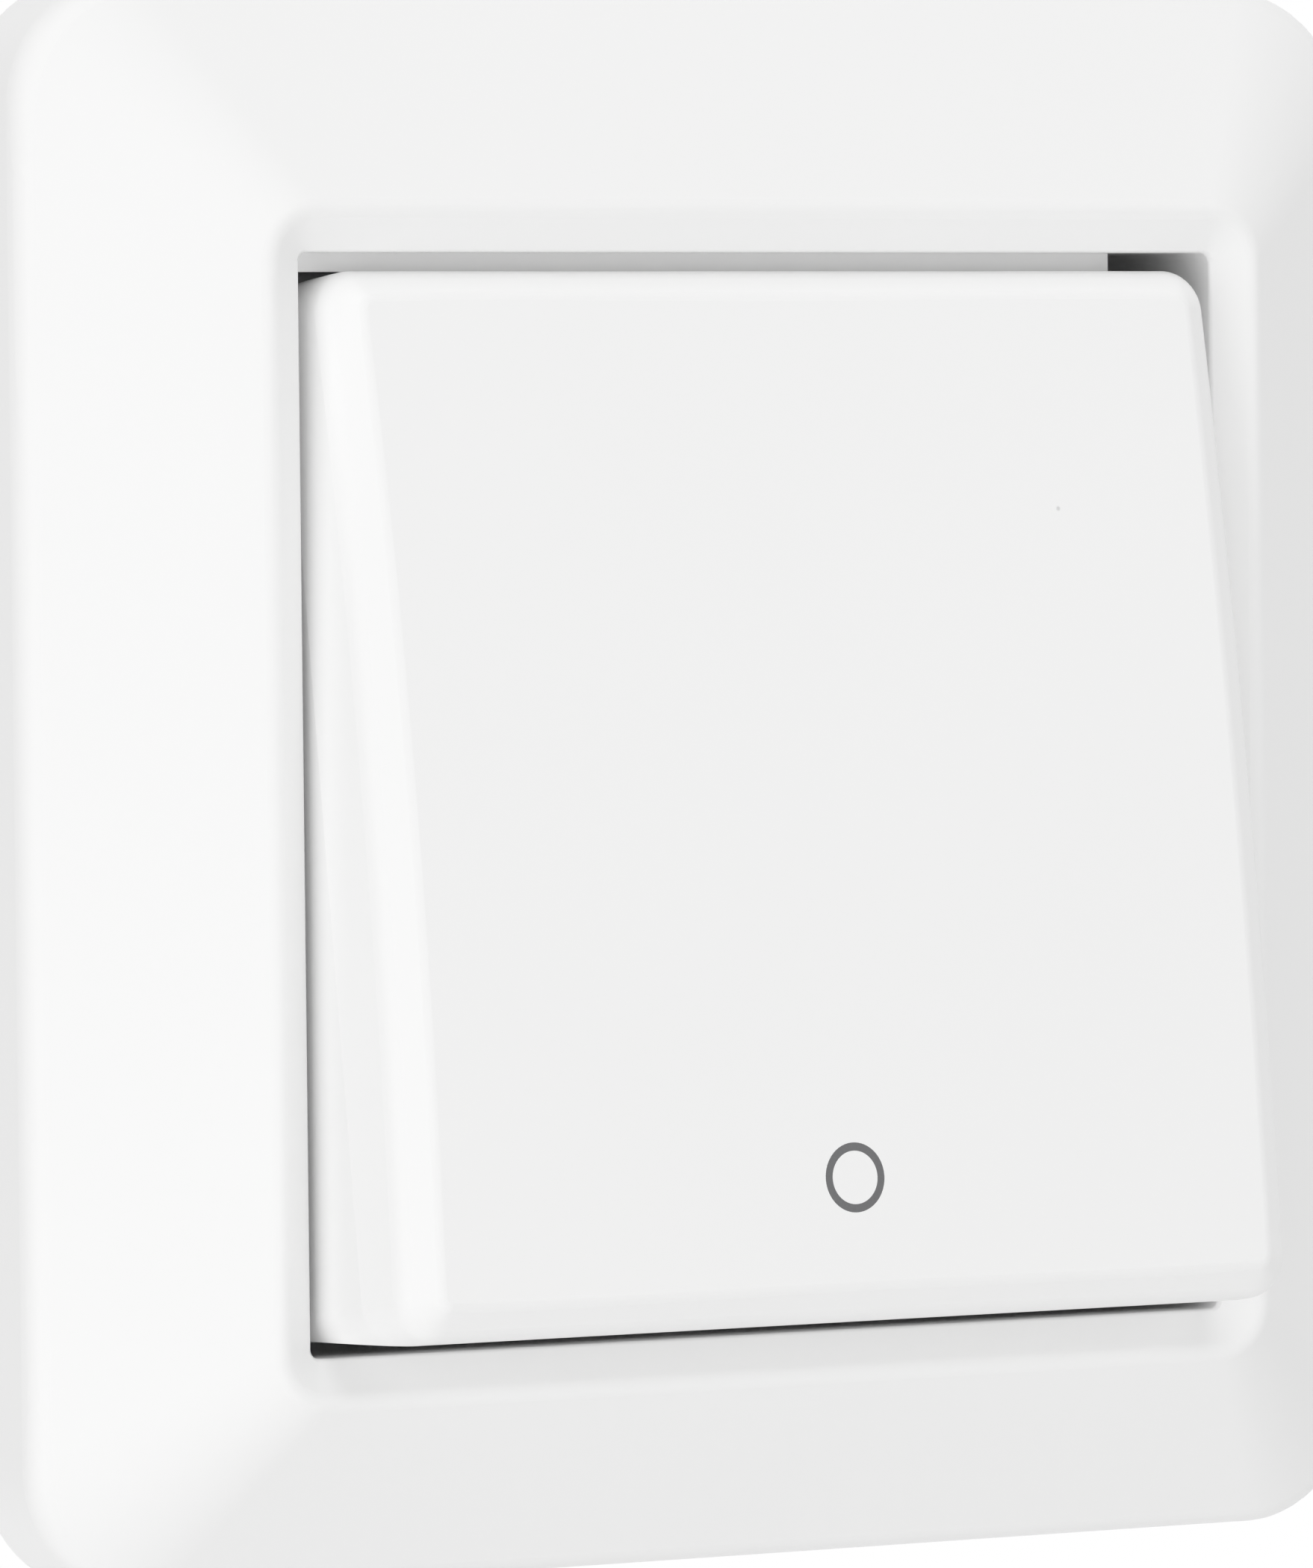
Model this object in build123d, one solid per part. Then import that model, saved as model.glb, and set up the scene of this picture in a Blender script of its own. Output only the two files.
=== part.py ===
# Flush light switch with one wide rocker, a square cover frame and a two-pole contact block.
# Units are millimetres. X runs to the right, Z runs up and Y runs into the wall.
# The wall surface is Y = 0, and "p" in the names below is the distance in front of it (p = -Y).
# The rocker is drawn the way it rests: its top pressed in and its lower end standing out.
# Its "height" and "depth" values are measured from its pivot while it is level.

import os

from build123d import *

# Cutting bodies run past the faces they cut by this much
over = 1.0
# Edges and faces are picked out within this much
edge_band = 0.1
wall_band = 0.5

# Cover frame
frame_size = 81.5
frame_corner = 6.9
frame_lift = 1.0
frame_wall = 1.8
edge_round = 1.75
opening = 55.5
opening_corner = 0.5
rim_p = 10.9
rim_round = 0.3
ridge_rise = 1.15
ridge_offset = 2.2
ridge_corner = 2.7
ridge_round = 1.0
slope_drop = 6.75
ledge_drop = 1.7
ledge_tall = 3.0
ledge_width = 0.95
prise_slot = 5.3
roof_thick = 2.6
inner_wall = 1.5
foot_gap = 0.2
screw_notch = 7.6
screw_notch_p = 4.4
catch_width = 4.0
catch_low = 2.6
catch_tall = 1.0
catch_reach = 0.55

# Support ring
ring_margin = 3.2
ring_corner = 5.0
ring_thick = 0.8
screw_spacing = 60.0
slot_length = 5.2
slot_radius = 1.8
tongue_x = 14.0
tongue_width = 9.0
tongue_tall = 4.6
tongue_gap = 0.1
catch_gap = 0.15

# Contact block: housing behind the ring, cover in front of it
housing_width = 42.0
housing_height = 38.0
housing_depth = 23.0
housing_corner = 4.0
housing_wall = 1.5
housing_round = 0.8
inner_corner = 2.0
shoulder = 1.0
neck_gap = 0.1
barrier_thick = 2.0
cover_width = 47.0
cover_height = 43.0
cover_corner = 3.0
cover_thick = 2.0
boss_radius = 2.0
boss_inset = 2.3
screw_radius = 1.1
screw_gap = 0.05
screw_reach = 9.0
screw_head_radius = 2.1
screw_head_height = 1.5
driver_slot = 0.5
driver_depth = 0.8

# Rocker and its cradle
tilt = 7.6
pivot_rise = 0.9
rocker_side_gap = 0.45
rocker_draft = 0.7
rocker_end_gap = 0.75
rocker_low = 0.28
rocker_corner = 2.2
rocker_inner_corner = 1.2
rocker_wall = 1.6
crown_radius = 420.0
crown_height = 5.0
rocker_chamfer = 1.6
rocker_chamfer_drop = 1.2
crease_round = 0.8
shoulder_round = 1.4
skirt_depth = 6.0
lean_height = 1.0
lean = 0.85
roof_height = 2.9
cradle_half_x = 14.6
cradle_half_z = 9.0
cradle_plate = 1.8
hub_radius = 2.2
trunnion_radius = 1.3
trunnion_gap = 0.05
trunnion_end_gap = 0.2
lug_gap = 1.3
lug_thick = 2.4
lug_radius = 2.5
hook_width = 7.0
hook_x = 9.0
hook_thick = 1.2
hook_barb = 0.6
hook_foot = 1.2
hook_side_gap = 0.1

# Off mark, a thin ring let into the rocker's face
mark_x = -0.33
mark_z = -19.86
mark_radius = 1.78
mark_stroke = 0.42
mark_depth = 0.2

# Poles: one on each side of the barrier
pole_x = 9.0
tube_wall = 0.95
tube_foot_depth = 8.0
tube_roof_height = 0.6
plunger_radius = 1.7
plunger_gap = 0.05
plunger_top_depth = 3.4
bridge_drop = 17.8
bridge_width = 5.0
bridge_thick = 1.0
bridge_lift = 0.3
bridge_top_z = 6.5
bridge_foot_z = -13.0
hinge_radius = 1.2
hinge_gap = 0.05
middle_gap = 0.08
spring_wire = 0.3
spring_side_gap = 0.3
spring_turns = 4
slot_side_gap = 0.7
slot_half_z = 4.8

# Contacts, terminals and wire clamps
tip_radius = 1.6
tip_thick = 0.8
tip_z = -11.3
closed_gap = 0.05
strip = 1.0
pad_past_tip = 2.1
saddle_half_z = 2.2
saddle_drop = 0.2
saddle_depth = 2.7
leg_drop = 1.5
cheek_gap = 0.3
cheek_thick = 1.3
cheek_rise = 1.8
pedestal_inset = 6.0
pedestal_step_z = -6.0
pedestal_step = 1.7
wire_x = 9.5
wire_inset = 2.5
wire_radius = 1.7
funnel_radius = 2.4
funnel_depth = 0.8
clamp_thick = 0.4
clamp_x0 = 3.8
clamp_x1 = 11.4
clamp_bend = 1.1
clamp_foot = 8.0
clamp_reach = 6.9
clamp_bend_inset = 4.9
clamp_end_inset = 1.6

# Release levers
prong_x = 5.0
prong_side = 2.0
prong_gap = 0.15
prong_reach = 2.7
collar_side = 2.8
collar_thick = 0.8
collar_gap = 0.1
lever_half_x = 6.6
lever_height = 3.4
lever_thick = 1.4
lever_travel = 1.2
lever_stop_gap = 0.1

# Values that follow from the ones above
half_opening = opening / 2
ridge_p = rim_p + ridge_rise
ledge_p = rim_p - ledge_drop
ridge_size = opening + 2 * ridge_offset
slope_foot_p = ridge_p - slope_drop
cavity_top_p = ridge_p - roof_thick
wall_out = half_opening + inner_wall
ring_size = frame_size - 2 * frame_wall - 2 * ring_margin
inner_wall_foot_p = ring_thick + foot_gap
catch_p0 = ring_thick + catch_low
catch_p1 = catch_p0 + catch_tall
pivot_p = rim_p + pivot_rise
rocker_width = opening - 2 * rocker_side_gap
rocker_height = opening - 2 * rocker_end_gap
inner_x = housing_width / 2 - shoulder - housing_wall
inner_z = housing_height / 2 - shoulder - housing_wall
housing_back_p = -housing_depth
floor_p = housing_back_p + housing_wall
cover_p = ring_thick + cover_thick
boss_x = inner_x - boss_inset
boss_z = inner_z - boss_inset
wire_z = inner_z - wire_inset
pedestal_half_z = inner_z - pedestal_inset
clamp_bend_z = inner_z - clamp_bend_inset
clamp_end_z = inner_z - clamp_end_inset
lug_in_x = cradle_half_x + lug_gap
tube_bore = plunger_radius + plunger_gap
tube_radius = tube_bore + tube_wall
spring_radius = tube_bore - spring_wire / 2 - spring_side_gap
bridge_p = pivot_p - bridge_drop
bridge_front = bridge_lift + bridge_thick
plunger_tip_p = bridge_p + bridge_front + middle_gap
slot_half_x = plunger_radius + slot_side_gap
plate_front_p = bridge_p - saddle_depth
plate_back_p = plate_front_p - strip
pedestal_half_x = bridge_width / 2 + cheek_gap + cheek_thick
clamp_bend_p = floor_p + clamp_bend
clamp_end_p = floor_p + clamp_reach
clamp_top_p = floor_p + clamp_foot
prong_tip_p = floor_p + prong_reach
rocker_axis = Axis((0, -pivot_p, 0), (1, 0, 0))
bridge_axis = Axis((0, -bridge_p, 0), (1, 0, 0))


def block(x0, x1, p0, p1, z0, z1):
    """A box between two corners, with p measured out of the wall."""
    box = Box(x1 - x0, p1 - p0, z1 - z0)
    return Pos((x0 + x1) / 2, -(p0 + p1) / 2, (z0 + z1) / 2) * box


def outline(width, height, radius, p, lift=0.0):
    """A rounded rectangle facing out of the wall at distance p, raised by lift."""
    return Plane.XZ.offset(p) * Pos(0, lift) * RectangleRounded(width, height, radius)


def slab(width, height, radius, p0, p1, lift=0.0):
    """A rounded plate from p0 to p1."""
    return extrude(outline(width, height, radius, p0, lift), amount=p1 - p0)


def rod(radius, x, z, p0, p1):
    """A round bar standing out of the wall."""
    disc = Plane.XZ.offset(p0) * Pos(x, z) * Circle(radius)
    return extrude(disc, amount=p1 - p0)


def crossbar(radius, x0, x1, p, z):
    """A round bar lying along X."""
    disc = Plane.YZ.offset(x0) * Pos(-p, z) * Circle(radius)
    return extrude(disc, amount=x1 - x0)


def screw_slot(x, z, turn):
    """The body that cuts a screw slot in the ring, turned from X by an angle."""
    shape = Pos(x, z) * Rot(0, 0, turn) * SlotOverall(slot_length, 2 * slot_radius)
    return extrude(Plane.XZ.offset(-over) * shape, amount=ring_thick + 2 * over)


def side_profile(points, x0, x1):
    """A polygon given as (p, z) points, drawn out along X."""
    flat = [(-p, z) for p, z in points]
    face = make_face(Polyline(*flat, close=True))
    return extrude(Plane.YZ.offset(x0) * face, amount=x1 - x0)


def rest_rocker(shape):
    """Turn a piece drawn level to the rocker's rest position."""
    return shape.rotate(rocker_axis, -tilt)


def rest_bridge(shape):
    """Turn a piece drawn level to the contact bridge's rest position."""
    return shape.rotate(bridge_axis, tilt)


def square_edges(shape, p, size, corner, lift=0.0):
    """Edges of a square piece that run round it at distance p, at the given size."""
    found = []
    for edge in shape.edges():
        c = edge.center()
        reach = max(abs(c.X), abs(c.Z - lift))
        level = abs(-c.Y - p) < edge_band
        if level and size / 2 - corner <= reach <= size / 2 + edge_band:
            found.append(edge)
    return found


def make_cover_frame():
    foot = outline(frame_size, frame_size, frame_corner, slope_foot_p, frame_lift)
    crest = outline(ridge_size, ridge_size, ridge_corner, ridge_p)
    body = slab(frame_size, frame_size, frame_corner, 0, slope_foot_p, frame_lift)
    body = body + loft([foot, crest], ruled=True)
    # The dish falls from the ridge to the rim of the opening.
    rim = outline(opening, opening, opening_corner, rim_p)
    top = outline(ridge_size, ridge_size, ridge_corner, ridge_p)
    dish = loft([rim, top], ruled=True)
    body = body - (dish + slab(opening, opening, opening_corner, -over, rim_p))
    body = fillet(square_edges(body, slope_foot_p, frame_size, frame_corner, frame_lift), edge_round)
    body = fillet(square_edges(body, ridge_p, ridge_size, ridge_corner), ridge_round)
    body = fillet(square_edges(body, rim_p, opening, opening_corner), rim_round)
    # The frame is a shell: a hollow under the slope, and a wall standing round the opening.
    run = (frame_size - ridge_size) / 2 / (ridge_p - slope_foot_p)
    inset = frame_wall * (1 + run * run) ** 0.5
    high = ridge_size + 2 * run * (ridge_p - cavity_top_p) - 2 * inset
    high_lift = frame_lift * (ridge_p - cavity_top_p) / slope_drop
    low = frame_size - 2 * frame_wall
    low_p = cavity_top_p - (low - high) / 2 / run
    low_corner = frame_corner - frame_wall
    hollow = slab(low, low, low_corner, -over, low_p, frame_lift)
    hollow = hollow + loft(
        [
            outline(low, low, low_corner, low_p, frame_lift),
            outline(high, high, ridge_corner, cavity_top_p, high_lift),
        ],
        ruled=True,
    )
    keep = slab(2 * wall_out, 2 * wall_out, opening_corner + inner_wall, inner_wall_foot_p, ridge_p)
    body = body - (hollow - keep)
    # A ledge closes the gap above the rocker, and stops short of a corner to leave a slot to prise it off.
    z0, z1 = half_opening - ledge_width, half_opening + inner_wall / 2
    body = body + block(-wall_out + over, half_opening - prise_slot, ledge_p - ledge_tall, ledge_p, z0, z1)
    # Room for the heads of the box screws under the inner wall.
    half = screw_notch / 2
    for side in (-1, 1):
        a, b = sorted((side * (half_opening - over), side * (wall_out + over)))
        body = body - block(a, b, 0, screw_notch_p, -half, half)
        body = body - block(-half, half, 0, screw_notch_p, a, b)
    # Snap catches that engage the ring's tongues.
    for side in (-1, 1):
        for x in (-tongue_x, tongue_x):
            points = [
                (catch_p0, side * wall_out),
                (catch_p1, side * wall_out),
                (catch_p1, side * (wall_out + catch_reach)),
            ]
            wedge = side_profile(points, x - catch_width / 2, x + catch_width / 2)
            body = body + wedge
    return body


def make_support_ring():
    neck_w = housing_width - 2 * shoulder + 2 * neck_gap
    neck_h = housing_height - 2 * shoulder + 2 * neck_gap
    ring = slab(ring_size, ring_size, ring_corner, 0, ring_thick)
    ring = ring - slab(neck_w, neck_h, housing_corner - shoulder, -over, ring_thick + over)
    for side in (-1, 1):
        ring = ring - screw_slot(side * screw_spacing / 2, 0, 0)
        ring = ring - screw_slot(0, side * screw_spacing / 2, 90)
    # Four tongues bent up beside the cover frame's inner wall, each with a window for a catch.
    near = wall_out + tongue_gap
    far = near + ring_thick
    for side in (-1, 1):
        z0, z1 = sorted((side * near, side * far))
        for x in (-tongue_x, tongue_x):
            ring = ring + block(
                x - tongue_width / 2, x + tongue_width / 2, ring_thick / 2, ring_thick + tongue_tall, z0, z1
            )
            window = catch_width / 2 + catch_gap
            ring = ring - block(
                x - window, x + window, catch_p0 - catch_gap, catch_p1 + catch_gap, z0 - over, z1 + over
            )
    return ring


def make_housing():
    body = slab(housing_width, housing_height, housing_corner, housing_back_p, 0)
    body = fillet(body.faces().sort_by(Axis.Y)[-1].edges(), housing_round)
    neck_corner = housing_corner - shoulder
    body = body + slab(
        housing_width - 2 * shoulder, housing_height - 2 * shoulder, neck_corner, -over, ring_thick
    )
    body = body - slab(2 * inner_x, 2 * inner_z, inner_corner, floor_p, ring_thick + over)
    half = barrier_thick / 2
    body = body + block(-half, half, floor_p, ring_thick, -inner_z, inner_z)
    for side in (-1, 1):
        x = side * pole_x
        x0, x1 = x - pedestal_half_x, x + pedestal_half_x
        body = body + block(x0, x1, floor_p, plate_back_p, pedestal_step_z, pedestal_half_z)
        low = plate_back_p - pedestal_step
        body = body + block(x0, x1, floor_p, low, -pedestal_half_z, pedestal_step_z)
        # Cheeks keep the contact bridge from sliding sideways.
        for edge in (-1, 1):
            near = x + edge * (bridge_width / 2 + cheek_gap)
            a, b = sorted((near, near + edge * cheek_thick))
            body = body + block(a, b, plate_back_p, bridge_p + cheek_rise, -saddle_half_z, saddle_half_z)
        for end in (-1, 1):
            body = body + rod(boss_radius, side * boss_x, end * boss_z, floor_p, ring_thick)
    for side in (-1, 1):
        for end in (-1, 1):
            screw_hole = screw_radius + screw_gap
            body = body - rod(screw_hole, side * boss_x, end * boss_z, -screw_reach - over, ring_thick + over)
            wx, wz = side * wire_x, end * wire_z
            body = body - rod(wire_radius, wx, wz, housing_back_p - over, floor_p + over)
            mouth = Plane.XZ.offset(housing_back_p) * Pos(wx, wz) * Circle(funnel_radius)
            throat = Plane.XZ.offset(housing_back_p + funnel_depth) * Pos(wx, wz) * Circle(wire_radius)
            body = body - loft([mouth, throat])
            hole = prong_side / 2 + prong_gap
            px, pz = side * prong_x, end * wire_z
            back, front = housing_back_p - over, floor_p + over
            body = body - block(px - hole, px + hole, back, front, pz - hole, pz + hole)
    return body


def make_housing_cover():
    body = slab(cover_width, cover_height, cover_corner, ring_thick, cover_p)
    for side in (-1, 1):
        x = side * pole_x
        body = body - block(x - slot_half_x, x + slot_half_x, 0, cover_p + over, -slot_half_z, slot_half_z)
        for end in (-1, 1):
            body = body - rod(screw_radius + screw_gap, side * boss_x, end * boss_z, 0, cover_p + over)
        # Bearing lug for one trunnion of the cradle.
        x0, x1 = sorted((side * lug_in_x, side * (lug_in_x + lug_thick)))
        lug = block(x0, x1, cover_p, pivot_p, -lug_radius, lug_radius)
        lug = lug + crossbar(lug_radius, x0, x1, pivot_p, 0)
        lug = lug - crossbar(trunnion_radius + trunnion_gap, x0 - over, x1 + over, pivot_p, 0)
        body = body + lug
    return body


def make_housing_screws():
    screws = []
    for side in (-1, 1):
        for end in (-1, 1):
            x, z = side * boss_x, end * boss_z
            top = cover_p + screw_head_height
            screw = rod(screw_radius, x, z, -screw_reach, cover_p)
            screw = screw + rod(screw_head_radius, x, z, cover_p, top)
            half = driver_slot / 2
            reach = screw_head_radius + over
            cut = block(x - reach, x + reach, top - driver_depth, top + over, z - half, z + half)
            screws.append(screw - cut)
    return Compound(children=screws)


def crown(radius_less):
    """The cylinder whose front is the rocker's curved face, made smaller by radius_less."""
    return crossbar(crown_radius - radius_less, -opening, opening, pivot_p + crown_height - crown_radius, 0)


def curved_face(body):
    """The rocker's front, the largest round face it has."""
    return body.faces().filter_by(GeomType.CYLINDER).sort_by(SortBy.AREA)[-1]


def make_mark_ring():
    """The off mark at the level position, flush with the curved face."""
    front_p = pivot_p + crown_height
    ring = rod(mark_radius, mark_x, mark_z, pivot_p, front_p)
    ring = ring - rod(mark_radius - mark_stroke, mark_x, mark_z, pivot_p, front_p)
    return Pos(0, 0, -rocker_low) * (ring & (crown(0) - crown(mark_depth)))


def shoulder_edges(body):
    """The front edges of the rocker's upright walls."""
    walls = [face for face in body.faces() if abs(face.normal_at().Y) < wall_band]
    return [wall.edges().sort_by(Axis.Y)[0] for wall in walls]


def make_rocker(mark):
    skirt_p = pivot_p - skirt_depth
    front_width = rocker_width - 2 * rocker_draft
    ends = [
        outline(rocker_width, rocker_height, rocker_corner, pivot_p),
        outline(front_width, rocker_height, rocker_corner, pivot_p + crown_height),
    ]
    body = loft(ends, ruled=True) & crown(0)
    front = curved_face(body)
    body = chamfer(front.edges(), rocker_chamfer, rocker_chamfer_drop, reference=front)
    body = fillet(shoulder_edges(body), shoulder_round)
    body = fillet(curved_face(body).edges(), crease_round)
    body = body + slab(rocker_width, rocker_height, rocker_corner, skirt_p, pivot_p)
    # The end walls lean in towards the foot, to clear the frame on the swing.
    for end in (-1, 1):
        z = end * rocker_height / 2
        points = [
            (pivot_p + lean_height, z),
            (skirt_p, z - end * lean),
            (skirt_p - over, z - end * lean),
            (skirt_p - over, z + end * over),
            (pivot_p + lean_height, z + end * over),
        ]
        body = body - side_profile(points, -half_opening, half_opening)
    hollow = slab(
        front_width - 2 * rocker_wall,
        rocker_height - 2 * rocker_wall,
        rocker_inner_corner,
        skirt_p - over,
        pivot_p + roof_height,
    )
    body = Pos(0, 0, -rocker_low) * (body - hollow)
    # Hooks under the roof grip the two long edges of the cradle.
    under = pivot_p + roof_height - cradle_plate
    for end in (-1, 1):
        for x in (-hook_x, hook_x):
            a, b = x - hook_width / 2, x + hook_width / 2
            near = cradle_half_z + hook_side_gap
            z0, z1 = sorted((end * near, end * (near + hook_thick)))
            body = body + block(a, b, under - hook_foot, pivot_p + roof_height, z0, z1)
            z0, z1 = sorted((end * (cradle_half_z - hook_barb), end * near))
            body = body + block(a, b, under - hook_foot, under, z0, z1)
    return body - mark


def make_cradle():
    top = pivot_p + roof_height
    tube_foot_p = pivot_p - tube_foot_depth
    body = block(-cradle_half_x, cradle_half_x, top - cradle_plate, top, -cradle_half_z, cradle_half_z)
    body = body + crossbar(hub_radius, -cradle_half_x, cradle_half_x, pivot_p, 0)
    reach = lug_in_x + lug_thick - trunnion_end_gap
    body = body + crossbar(trunnion_radius, -reach, reach, pivot_p, 0)
    for side in (-1, 1):
        body = body + rod(tube_radius, side * pole_x, 0, tube_foot_p, top - cradle_plate / 2)
    for side in (-1, 1):
        body = body - rod(tube_bore, side * pole_x, 0, tube_foot_p - over, pivot_p + tube_roof_height)
    return body


def make_plunger(side):
    x = side * pole_x
    round_p = plunger_tip_p + plunger_radius
    pin = rod(plunger_radius, x, 0, round_p, pivot_p - plunger_top_depth)
    return pin + Pos(x, -round_p, 0) * Sphere(plunger_radius)


def make_plunger_spring(side):
    length = tube_roof_height + plunger_top_depth - spring_wire
    pitch = length / spring_turns
    coil = Helix(pitch, length, spring_radius)
    wire = Plane(origin=coil @ 0, z_dir=coil % 0) * Circle(spring_wire / 2)
    spring = sweep(wire, path=coil)
    start = pivot_p - plunger_top_depth + spring_wire / 2
    return Pos(side * pole_x, -start, 0) * Rot(90, 0, 0) * spring


def make_bridge(side):
    x0 = side * pole_x - bridge_width / 2
    x1 = side * pole_x + bridge_width / 2
    body = block(x0, x1, bridge_p + bridge_lift, bridge_p + bridge_front, bridge_foot_z, bridge_top_z)
    return body + crossbar(hinge_radius, x0, x1, bridge_p, 0)


def make_moving_tip(side):
    back = bridge_p + bridge_lift
    return rod(tip_radius, side * pole_x, tip_z, back - tip_thick, back)


def make_fixed_tip(side):
    front = bridge_p + bridge_lift - tip_thick - closed_gap
    return rod(tip_radius, side * pole_x, tip_z, front - tip_thick, front)


def make_line_terminal(side):
    x0 = side * pole_x - bridge_width / 2
    x1 = side * pole_x + bridge_width / 2
    body = block(x0, x1, plate_front_p, bridge_p - saddle_drop, -saddle_half_z, saddle_half_z)
    body = body + block(x0, x1, plate_back_p, plate_front_p, -saddle_half_z, inner_z)
    body = body + block(x0, x1, floor_p, plate_front_p, inner_z - strip, inner_z)
    return body - crossbar(hinge_radius + hinge_gap, x0 - over, x1 + over, bridge_p, 0)


def make_load_terminal(side):
    x0 = side * pole_x - bridge_width / 2
    x1 = side * pole_x + bridge_width / 2
    front = bridge_p + bridge_lift - 2 * tip_thick - closed_gap
    pad = rest_bridge(block(x0, x1, front - strip, front, -inner_z - over, tip_z + pad_past_tip))
    pad = pad & block(x0 - over, x1 + over, floor_p, 0, -inner_z, 0)
    return pad + block(x0, x1, floor_p, front - strip - leg_drop, -inner_z, -inner_z + strip)


def make_clamp(side, end):
    """A bent leaf that bites a wire pushed in from the back."""
    half = clamp_thick / 2
    rest = pedestal_half_z
    rise = (clamp_end_z - clamp_bend_z) / (clamp_end_p - clamp_bend_p)
    lift = clamp_thick * (1 + rise * rise) ** 0.5
    points = [
        (clamp_top_p, end * rest),
        (clamp_bend_p + half, end * rest),
        (clamp_bend_p - half, end * (rest + clamp_thick)),
        (clamp_bend_p - half, end * clamp_bend_z),
        (clamp_end_p, end * clamp_end_z),
        (clamp_end_p, end * (clamp_end_z - lift)),
        (clamp_bend_p + half, end * (clamp_bend_z - half)),
        (clamp_bend_p + half, end * (rest + clamp_thick)),
        (clamp_top_p, end * (rest + clamp_thick)),
    ]
    x0, x1 = sorted((side * clamp_x0, side * clamp_x1))
    return side_profile(points, x0, x1)


def make_release_lever(end):
    z = end * wire_z
    bar_p = housing_back_p - lever_stop_gap - lever_travel
    half_z = lever_height / 2
    body = block(-lever_half_x, lever_half_x, bar_p - lever_thick, bar_p, z - half_z, z + half_z)
    side_half = prong_side / 2
    collar = collar_side / 2
    for side in (-1, 1):
        x = side * prong_x
        body = body + block(x - side_half, x + side_half, bar_p, prong_tip_p, z - side_half, z + side_half)
        collar_p = floor_p + collar_gap
        body = body + block(x - collar, x + collar, collar_p, collar_p + collar_thick, z - collar, z + collar)
    return body


def save(shape, name):
    export_step(shape, "parts/" + name + ".step")


os.makedirs("parts", exist_ok=True)

mark = make_mark_ring()
save(make_cover_frame(), "cover_frame")
save(make_support_ring(), "support_ring")
save(make_housing(), "mechanism_housing")
save(make_housing_cover(), "housing_cover")
save(make_housing_screws(), "housing_screws")
save(rest_rocker(make_rocker(mark)), "rocker")
save(rest_rocker(mark), "off_mark")
save(rest_rocker(make_cradle()), "cradle")
for side, hand in ((-1, "left"), (1, "right")):
    save(rest_rocker(make_plunger(side)), "plunger_" + hand)
    save(rest_rocker(make_plunger_spring(side)), "plunger_spring_" + hand)
    save(rest_bridge(make_bridge(side)), "contact_bridge_" + hand)
    save(rest_bridge(make_moving_tip(side)), "moving_tip_" + hand)
    save(rest_bridge(make_fixed_tip(side)), "fixed_tip_" + hand)
    save(make_line_terminal(side), "line_terminal_" + hand)
    save(make_load_terminal(side), "load_terminal_" + hand)
    save(make_clamp(side, 1), "line_clamp_" + hand)
    save(make_clamp(side, -1), "load_clamp_" + hand)
save(make_release_lever(1), "release_lever_top")
save(make_release_lever(-1), "release_lever_bottom")
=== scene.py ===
# %% [markdown]
# # A rocker light switch
# This lesson dresses the solids of a flush light switch and photographs them in a white studio.
# The solids already have their true shapes and sizes, so nothing is modelled twice here:
# the lesson is about finishes, light and the camera.
# One unit is a metre. X runs to the right, Z up, and Y into the wall that the switch sits on.

# %% Load the solids
from math import cos, pi, radians, sin

import bmesh
import bpy
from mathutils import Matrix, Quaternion, Vector

MM = 0.001

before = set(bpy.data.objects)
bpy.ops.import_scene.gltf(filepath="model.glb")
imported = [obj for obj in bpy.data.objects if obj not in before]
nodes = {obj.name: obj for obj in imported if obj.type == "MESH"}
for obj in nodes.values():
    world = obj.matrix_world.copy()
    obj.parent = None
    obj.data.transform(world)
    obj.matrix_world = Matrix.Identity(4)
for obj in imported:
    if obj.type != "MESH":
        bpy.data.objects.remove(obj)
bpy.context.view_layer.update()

# %% [markdown]
# ## Finishes written as arithmetic
# A finish is a tree of shader nodes. Wiring dozens of Math nodes by hand hides the idea behind them,
# so a small class stands for one wire of the tree. Adding, subtracting or multiplying wires adds the
# Math nodes, and every other kind of node comes from the one method `node`.

# %% A wire of a node tree
class Wire:
    """One output in a node tree, with arithmetic that adds Math nodes."""

    def __init__(self, tree, socket=None):
        self.tree = tree
        self.socket = socket

    def node(self, kind, settings=None, inputs=None, output=0):
        """Add a node: its settings first, then the values or wires of its sockets."""
        made = self.tree.nodes.new(kind)
        for name, value in (settings or {}).items():
            setattr(made, name, value)
        for name, value in (inputs or {}).items():
            if isinstance(value, Wire):
                self.tree.links.new(value.socket, made.inputs[name])
            else:
                made.inputs[name].default_value = value
        return Wire(self.tree, made.outputs[output] if made.outputs else None)

    def also(self, output):
        """Another output of the node that this wire comes from."""
        return Wire(self.tree, self.socket.node.outputs[output])

    def maths(self, operation, first, second):
        """Add a Math node that takes first and second in this order."""
        return self.node("ShaderNodeMath", {"operation": operation}, {0: first, 1: second})

    def __add__(self, other):
        return self.maths("ADD", self, other)

    def __radd__(self, other):
        return self.maths("ADD", other, self)

    def __sub__(self, other):
        return self.maths("SUBTRACT", self, other)

    def __rsub__(self, other):
        return self.maths("SUBTRACT", other, self)

    def __mul__(self, other):
        return self.maths("MULTIPLY", self, other)

    def __rmul__(self, other):
        return self.maths("MULTIPLY", other, self)


# %% [markdown]
# ## The two ends of every finish
# Each finish starts from Object coordinates, which stay with a piece when it moves, and ends in a
# Principled shader. Only what lies between differs, so both ends are written once.

# %% Start and end a finish
def start_finish(name):
    """A new material with an empty tree, and the wire of its Object coordinates."""
    material = bpy.data.materials.new(name)
    material.use_nodes = True
    material.node_tree.nodes.clear()
    place = Wire(material.node_tree).node("ShaderNodeTexCoord", output="Object")
    return material, place


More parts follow.
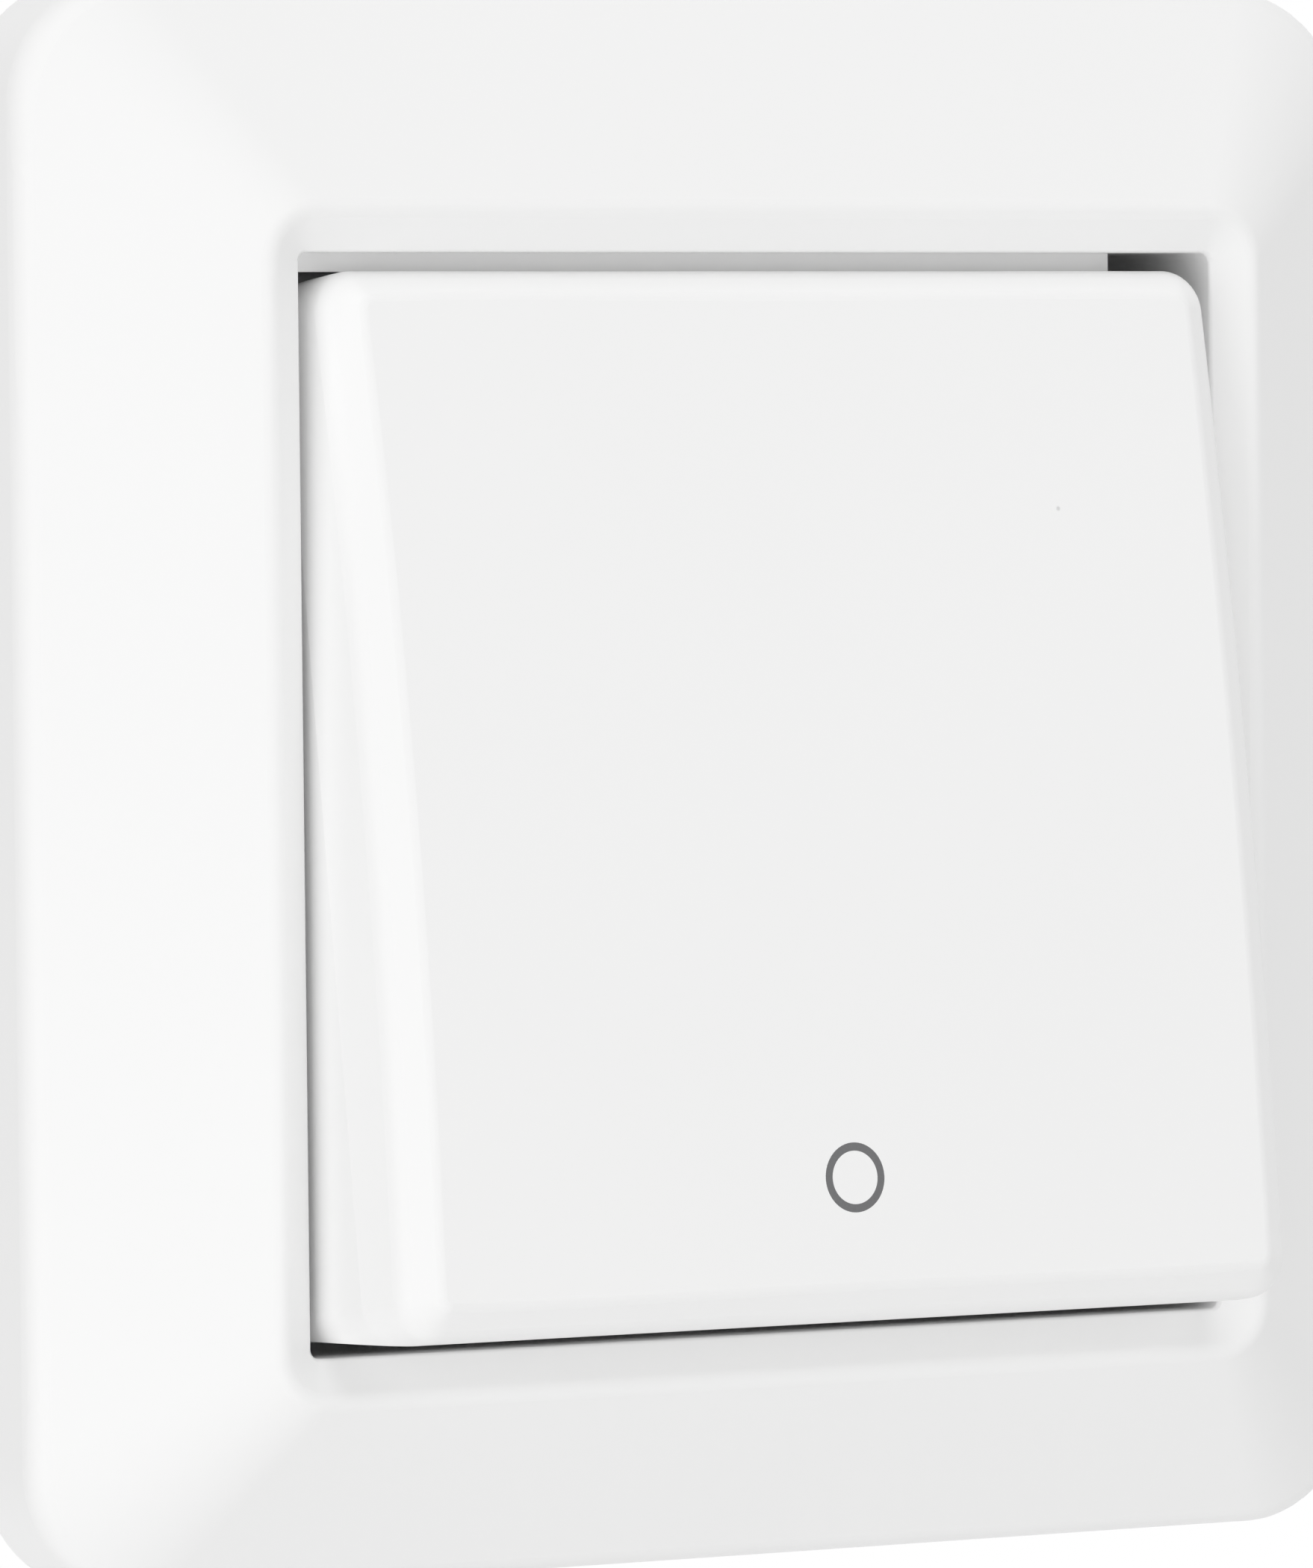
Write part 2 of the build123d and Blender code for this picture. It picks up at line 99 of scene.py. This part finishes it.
def end_finish(material, **sockets):
    """Put a Principled shader with these sockets on the material."""
    inputs = {name.replace("_", " "): value for name, value in sockets.items()}
    shader = Wire(material.node_tree).node("ShaderNodeBsdfPrincipled", inputs=inputs)
    shader.node("ShaderNodeOutputMaterial", inputs={"Surface": shader})
    print("finish", material.name, "with", len(material.node_tree.nodes), "nodes")
    return material


# %% [markdown]
# ## Masks for surface texture
# Moulded and rolled surfaces differ from place to place by very little: a cloud of noise that is a few
# millimetres across, and a grain that is a few tenths. Noise is measured in millimetres here, because that
# is how one looks at a part. The other mask is a round spot, which fades out around a point.

# %% A cloud and a spot
def cloud(place, size_mm, detail=2.0, stretch=(1.0, 1.0, 1.0)):
    """Noise whose lumps are about size_mm across, drawn out where stretch is small."""
    stretched = place.node("ShaderNodeMapping", inputs={"Vector": place, "Scale": stretch})
    inputs = {"Vector": stretched, "Scale": 1 / (size_mm * MM), "Detail": detail}
    return place.node("ShaderNodeTexNoise", inputs=inputs, output="Fac")


def spot(place, middle, inner, outer):
    """A mask that is 1 as far as inner from a point and falls to 0 at outer."""
    ends = {0: place, 1: middle}
    away = place.node("ShaderNodeVectorMath", {"operation": "DISTANCE"}, ends, output="Value")
    limits = {"Value": away, "From Min": inner, "From Max": outer, "To Min": 1.0, "To Max": 0.0}
    return place.node("ShaderNodeMapRange", {"interpolation_type": "SMOOTHSTEP"}, limits)


# %% [markdown]
# ## From masks to colours and bumps
# A Math node would turn a colour grey, so colours go through the Mix node. It lists its sockets for numbers,
# vectors and colours one after another, and the ones for colours are picked by their place in that list.
# Most finishes wander between a darker and a lighter share of one colour. A mask can also be read as a
# height, which gives small bumps without any geometry.

# %% Tint, mottle and bumps
MIX_FACTOR = 0
MIX_FIRST = 6
MIX_SECOND = 7
MIX_COLOUR = 2


def tint(mask, first, second):
    """A colour that goes from first to second as the mask goes from 0 to 1."""
    inputs = {MIX_FACTOR: mask, MIX_FIRST: first, MIX_SECOND: second}
    return mask.node("ShaderNodeMix", {"data_type": "RGBA"}, inputs, output=MIX_COLOUR)


def shade(colour, share):
    """A colour made darker or lighter by a share, and as opaque as before."""
    red, green, blue, alpha = colour
    return red * share, green * share, blue * share, alpha


def mottle(mask, colour, darkest, lightest):
    """One colour that goes from its darkest to its lightest share with the mask."""
    return tint(mask, shade(colour, darkest), shade(colour, lightest))


def bumps(height, depth_mm):
    """A surface normal from a height between 0 and 1."""
    return height.node("ShaderNodeBump", inputs={"Height": height, "Distance": depth_mm * MM})


# %% [markdown]
# ## White gloss plastic
# The cover frame and the rocker are injection moulded in one white. Polished steel moulds leave the
# surface nearly even, with a faint orange peel that only softens the reflections.
# A plain white shader would look like paper, so the roughness and the bumps vary a little.
# The rocker also has one small grey speck in its face. It could be a picture on the surface, but a spot
# about one point needs no picture and stays sharp from near by.

# %% Mould the white plastic
WHITE = (0.945, 0.945, 0.943, 1.0)
FLECK_GREY = (0.42, 0.42, 0.42, 1.0)
FLECK_PLACE = (15.45 * MM, -14.67 * MM, 14.45 * MM)
FLECK_CORE = 0.05 * MM
FLECK_RIM = 0.17 * MM
FLECK_STRENGTH = 0.45


def white_plastic(name, with_fleck=False):
    material, place = start_finish(name)
    peel = cloud(place, size_mm=1.6)
    colour = mottle(cloud(place, size_mm=22.0), WHITE, darkest=0.992, lightest=1.006)
    if with_fleck:
        fleck = FLECK_STRENGTH * spot(place, FLECK_PLACE, FLECK_CORE, FLECK_RIM)
        colour = tint(fleck, colour, FLECK_GREY)
    return end_finish(
        material,
        Base_Color=colour,
        Roughness=0.32 + 0.06 * peel,
        Normal=bumps(peel, depth_mm=0.004),
    )


frame_white = white_plastic("white_gloss_frame")
rocker_white = white_plastic("white_gloss_rocker", with_fleck=True)

# %% [markdown]
# ## Grey print
# The ring on the rocker's lower half marks the off side. It is a thin solid of its own, so it needs no
# picture, only the matt grey of an ink. Ink covers unevenly at the scale of its own grain, and one fine
# cloud gives that to the colour, the roughness and the bumps alike.

# %% Ink the off mark
INK = (0.155, 0.156, 0.160, 1.0)


def grey_print():
    material, place = start_finish("grey_print")
    grain = cloud(place, size_mm=0.12, detail=3.0)
    return end_finish(
        material,
        Base_Color=mottle(grain, INK, darkest=0.85, lightest=1.15),
        Roughness=0.5 + 0.12 * grain,
        Normal=bumps(grain, depth_mm=0.003),
    )


ink = grey_print()

# %% [markdown]
# ## Zinc plated steel
# The support ring is punched from steel strip and then zinc plated, and the four screws are plated too.
# Zinc grows in small crystals, so the reflection changes from patch to patch. Voronoi cells give the
# crystals, and a stretched cloud adds the lines of the rolled strip underneath.

# %% Plate the steel
ZINC = (0.66, 0.67, 0.68, 1.0)
CRYSTAL = 1.3 * MM


def zinc_plate():
    material, place = start_finish("zinc_plated_steel")
    cells = {"Vector": place, "Scale": 1 / CRYSTAL}
    crystals = place.node("ShaderNodeTexVoronoi", {"feature": "SMOOTH_F1"}, cells)
    rolling = cloud(place, size_mm=0.5, stretch=(1.0, 1.0, 0.06))
    return end_finish(
        material,
        Base_Color=mottle(cloud(place, size_mm=9.0), ZINC, darkest=0.90, lightest=1.06),
        Metallic=1.0,
        Roughness=0.30 + 0.10 * crystals + 0.08 * rolling,
        Normal=bumps(rolling + crystals, depth_mm=0.003),
    )


zinc = zinc_plate()

# %% [markdown]
# ## Matt engineering plastics
# The parts that nobody sees are moulded without polish: a light grey housing, off-white bearings and
# plungers, and orange levers that an electrician can find at a glance. Spark-eroded moulds leave a fine,
# even grain. The three differ only in numbers, so one function takes a colour, a grain and a roughness.

# %% Mould the matt plastics
def matt_plastic(name, colour, grain_mm, roughness):
    material, place = start_finish(name)
    grain = cloud(place, grain_mm, detail=3.0)
    return end_finish(
        material,
        Base_Color=mottle(cloud(place, size_mm=11.0), colour, darkest=0.96, lightest=1.04),
        Roughness=roughness + 0.12 * grain,
        Normal=bumps(grain, depth_mm=0.012),
    )


housing_grey = matt_plastic("light_grey_plastic", (0.66, 0.67, 0.68, 1.0), grain_mm=0.22, roughness=0.50)
nylon = matt_plastic("natural_nylon", (0.80, 0.785, 0.715, 1.0), grain_mm=0.35, roughness=0.40)
lever_orange = matt_plastic("orange_plastic", (0.82, 0.235, 0.028, 1.0), grain_mm=0.25, roughness=0.42)

# %% [markdown]
# ## Rolled contact metals
# Bridges, terminals and clamps are cut from rolled strip, and springs and contact tips from drawn wire.
# Rolling and drawing leave fine lines, so the noise is drawn out along Z. Lines in the colour would look
# painted, so they go into the bumps and the roughness, where they break up the reflection.
# Handling leaves faint dull patches.

# %% Roll the metals
def rolled_metal(name, colour, roughness, dullness):
    material, place = start_finish(name)
    lines = cloud(place, size_mm=0.25, detail=3.0, stretch=(1.0, 1.0, 0.05))
    handling = cloud(place, size_mm=4.0)
    return end_finish(
        material,
        Base_Color=mottle(handling, colour, darkest=1.0 - dullness, lightest=1.0),
        Metallic=1.0,
        Roughness=roughness + 0.12 * lines + 0.10 * handling,
        Normal=bumps(lines, depth_mm=0.003),
    )


copper = rolled_metal("copper_alloy", (0.80, 0.47, 0.30, 1.0), roughness=0.22, dullness=0.18)
brass = rolled_metal("brass", (0.80, 0.62, 0.30, 1.0), roughness=0.22, dullness=0.15)
silver = rolled_metal("silver_alloy", (0.83, 0.82, 0.79, 1.0), roughness=0.30, dullness=0.22)
spring = rolled_metal("spring_steel", (0.58, 0.59, 0.61, 1.0), roughness=0.20, dullness=0.12)

# %% [markdown]
# ## Dressing the solids
# Each solid keeps its mesh and only gets a finish. A table from the solid's name to its finish is easier
# to check than many separate lines. Pieces that come in pairs share an entry, without their side.

# %% Give every solid its finish
FINISHES = {
    "cover_frame": frame_white,
    "rocker": rocker_white,
    "off_mark": ink,
    "support_ring": zinc,
    "housing_screws": zinc,
    "mechanism_housing": housing_grey,
    "housing_cover": housing_grey,
    "cradle": nylon,
    "plunger": nylon,
    "plunger_spring": spring,
    "contact_bridge": copper,
    "moving_tip": silver,
    "fixed_tip": silver,
    "line_terminal": brass,
    "load_terminal": brass,
    "line_clamp": spring,
    "load_clamp": spring,
    "release_lever": lever_orange,
}
SIDES = ("_left", "_right", "_top", "_bottom")

for name, solid in nodes.items():
    kind = name
    for side in SIDES:
        kind = kind.removesuffix(side)
    solid.data.materials.clear()
    solid.data.materials.append(FINISHES[kind])
print("dressed", len(nodes), "solids with", len(set(FINISHES.values())), "finishes")

# %% [markdown]
# ## A white studio
# The switch is shown on pure white. The world is white to the camera and in reflections, and less than half
# as strong as a light, because a full white room would wash the slopes of the frame out.
# Light Path tells these rays apart, so the white behind the switch costs no extra light on it.

# %% Light the room
ROOM_WHITE = (1.0, 1.0, 1.0, 1.0)
ROOM_LIGHT = 0.42


def white_room():
    world = bpy.data.worlds.new("white_room")
    bpy.context.scene.world = world
    world.use_nodes = True
    world.node_tree.nodes.clear()
    camera_ray = Wire(world.node_tree).node("ShaderNodeLightPath", output="Is Camera Ray")
    seen = camera_ray + camera_ray.also("Is Glossy Ray") + camera_ray.also("Is Transmission Ray")
    seen = seen.maths("MINIMUM", seen, 1.0)
    strength = ROOM_LIGHT + (1.0 - ROOM_LIGHT) * seen
    sky = seen.node("ShaderNodeBackground", inputs={"Color": ROOM_WHITE, "Strength": strength})
    sky.node("ShaderNodeOutputWorld", inputs={"Surface": sky})
    print("room light", ROOM_LIGHT, "and white to the camera")


white_room()

# %% [markdown]
# ## Five soft boxes
# Two soft boxes on the left brighten the left slope and the rocker's side, and leave the right slope grey.
# The one nearer the front reaches into the gap beside the rocker. A low one fills the faces that look down,
# a weak one on the right fills the bevels, and one overhead lifts the top slope above the bottom one.
# They shine as through the cloth of a light tent: reflections show the white room and not the boxes, so the
# ridge has no bright line and the face stays readable from the side.
# A level says how bright a lamp makes a white card that faces it, which is easier to think in than watts.

# %% Hang the soft boxes
LAMP_DISTANCE = 1.2


def toward(azimuth, elevation):
    """The direction from the switch to an azimuth from the front and an elevation above level."""
    a, e = radians(azimuth), radians(elevation)
    return Vector((sin(a) * cos(e), -cos(a) * cos(e), sin(e)))


def soft_box(name, azimuth, elevation, size, level):
    lamp = bpy.data.lights.new(name, "AREA")
    lamp.shape = "SQUARE"
    lamp.size = size
    lamp.energy = level * (pi * LAMP_DISTANCE) ** 2
    stand = bpy.data.objects.new(name, lamp)
    direction = toward(azimuth, elevation)
    stand.location = direction * LAMP_DISTANCE
    stand.rotation_euler = direction.to_track_quat("Z", "Y").to_euler()
    stand.visible_glossy = False
    bpy.context.scene.collection.objects.link(stand)
    print(name, "at", azimuth, "degrees,", round(lamp.energy, 2), "W")


soft_box("left_box", azimuth=-75, elevation=-18, size=0.9, level=0.28)
soft_box("near_left_box", azimuth=-56, elevation=0, size=0.9, level=0.155)
soft_box("low_box", azimuth=-6, elevation=-30, size=1.1, level=0.275)
soft_box("right_box", azimuth=45, elevation=0, size=1.2, level=0.135)
soft_box("top_box", azimuth=0, elevation=75, size=0.9, level=0.43)

# %% [markdown]
# ## The floor
# The floor lies well below the switch and only catches a soft shadow. A large plane would show its edge
# against the white room, so the floor is a disc whose material fades to clear before it reaches the rim.

# %% Fade the floor
FLOOR_DROP = 0.42
FLOOR_RADIUS = 0.7
FLOOR_WHITE = (0.92, 0.92, 0.92, 1.0)
FADE_START = 0.35 * FLOOR_RADIUS
FADE_END = 0.95 * FLOOR_RADIUS


def fading_card():
    material, place = start_finish("pale_floor")
    fade = 1.0 - spot(place, (0.0, 0.0, -FLOOR_DROP), FADE_START, FADE_END)
    card = place.node("ShaderNodeBsdfDiffuse", inputs={"Color": FLOOR_WHITE})
    clear = place.node("ShaderNodeBsdfTransparent")
    surface = place.node("ShaderNodeMixShader", inputs={0: fade, 1: card, 2: clear})
    surface.node("ShaderNodeOutputMaterial", inputs={"Surface": surface})
    print("floor fades from", round(FADE_START, 3), "to", round(FADE_END, 3), "m")
    return material


# %% Lay the floor
FLOOR_EDGES = 96


def pale_floor():
    mesh = bpy.data.meshes.new("floor")
    disc = bmesh.new()
    bmesh.ops.create_circle(disc, cap_ends=True, segments=FLOOR_EDGES, radius=FLOOR_RADIUS)
    bmesh.ops.translate(disc, verts=disc.verts, vec=(0, 0, -FLOOR_DROP))
    disc.to_mesh(mesh)
    disc.free()
    mesh.materials.append(fading_card())
    floor = bpy.data.objects.new("floor", mesh)
    bpy.context.scene.collection.objects.link(floor)
    print("floor", FLOOR_DROP, "m below the middle")


pale_floor()

# %% [markdown]
# ## The camera
# The photograph was taken from the left and just above, with a long lens, which keeps parallel edges nearly
# parallel. The angles, distance and focal length were fitted to the edges of the frame and its opening.
# The camera also leaned by a little over half a degree, so a roll about its own axis follows the aim.

# %% Set the camera up
CAMERA_AZIMUTH = -32.27
CAMERA_ELEVATION = 1.503
CAMERA_ROLL = -0.615
CAMERA_DISTANCE = 624.1 * MM
CAMERA_AIM = Vector((-0.037 * MM, 0.0, 0.309 * MM))
SENSOR_MM = 36.0
LENS_MM = 275.0

camera = bpy.data.cameras.new("camera")
camera.sensor_width = SENSOR_MM
camera.lens = LENS_MM
camera.clip_start = 0.05
camera.clip_end = 20.0
tripod = bpy.data.objects.new("camera", camera)
look_back = toward(CAMERA_AZIMUTH, CAMERA_ELEVATION)
tripod.location = CAMERA_AIM + look_back * CAMERA_DISTANCE
level_turn = look_back.to_track_quat("Z", "Y")
tripod.rotation_euler = (level_turn @ Quaternion((0, 0, 1), radians(CAMERA_ROLL))).to_euler()
bpy.context.scene.collection.objects.link(tripod)
bpy.context.scene.camera = tripod
bpy.context.scene.view_settings.view_transform = "Standard"
print("camera", [round(v, 3) for v in tripod.location])
